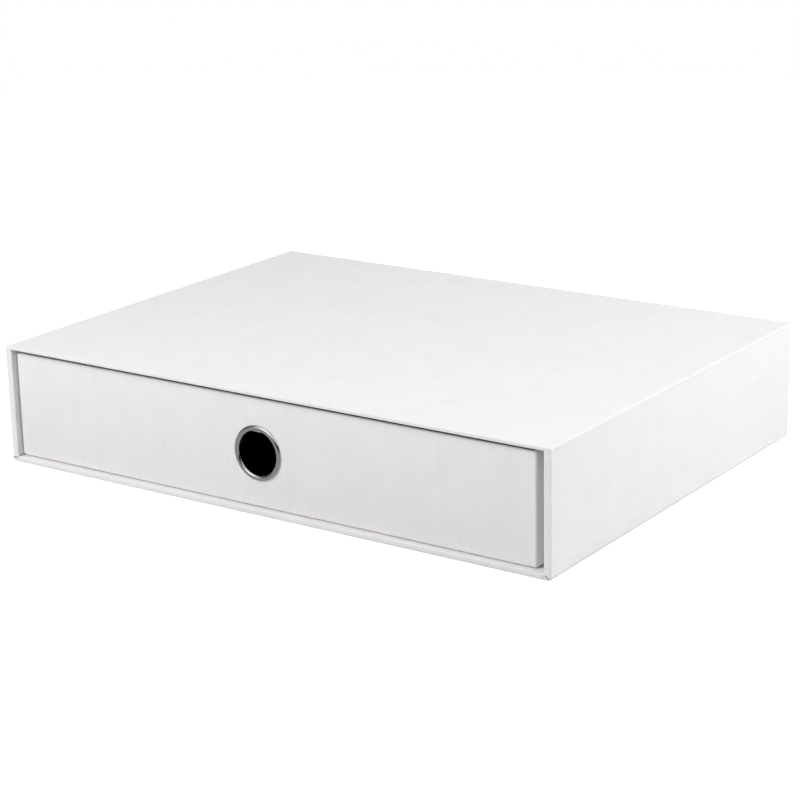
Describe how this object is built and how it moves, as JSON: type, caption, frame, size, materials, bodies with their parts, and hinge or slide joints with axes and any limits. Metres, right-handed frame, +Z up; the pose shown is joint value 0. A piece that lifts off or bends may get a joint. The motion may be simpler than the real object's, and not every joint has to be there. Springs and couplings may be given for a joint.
{
  "type": "file box with drawer",
  "caption": "Low paper-covered board case, open at the front, with a sliding drawer for sheets of paper and a round metal-rimmed finger hole in the drawer's front.",
  "frame": {"origin": "middle of the underside, on the surface that the box stands on", "axes": "+X along the front, to the right as seen from the front; +Y from the open front to the back; +Z up"},
  "size_m": [0.335, 0.25, 0.064],
  "materials": {
    "ribbed_paper": "white, embossed with fine lines, matte",
    "lining_paper": "grey, smooth, matte",
    "greyboard": "raw board",
    "nickel_plate": "polished",
    "zinc_steel": "satin"
  },
  "bodies": {
    "case": {"case_floor_board": "greyboard", "case_top_board": "greyboard", "case_left_outer_board": "greyboard", "case_right_outer_board": "greyboard", "case_left_inner_board": "greyboard", "case_right_inner_board": "greyboard", "case_back_board": "greyboard", "case_cover_sheet": "ribbed_paper", "case_base_sheet": "ribbed_paper", "case_back_sheet": "ribbed_paper", "case_lining": "lining_paper"},
    "drawer": {"drawer_base_board": "greyboard", "drawer_front_board": "greyboard", "drawer_back_board": "greyboard", "drawer_left_board": "greyboard", "drawer_right_board": "greyboard", "drawer_cover_sheet": "ribbed_paper", "drawer_base_sheet": "ribbed_paper", "drawer_floor_lining": "lining_paper", "drawer_wall_lining": "lining_paper", "eyelet": "nickel_plate", "eyelet_washer": "zinc_steel"}
  },
  "joints": [
    {"name": "drawer_slide", "type": "slide", "parent": "case", "child": "drawer", "axis": [0, -1, 0], "range_m": [0, 0.26]}
  ]
}
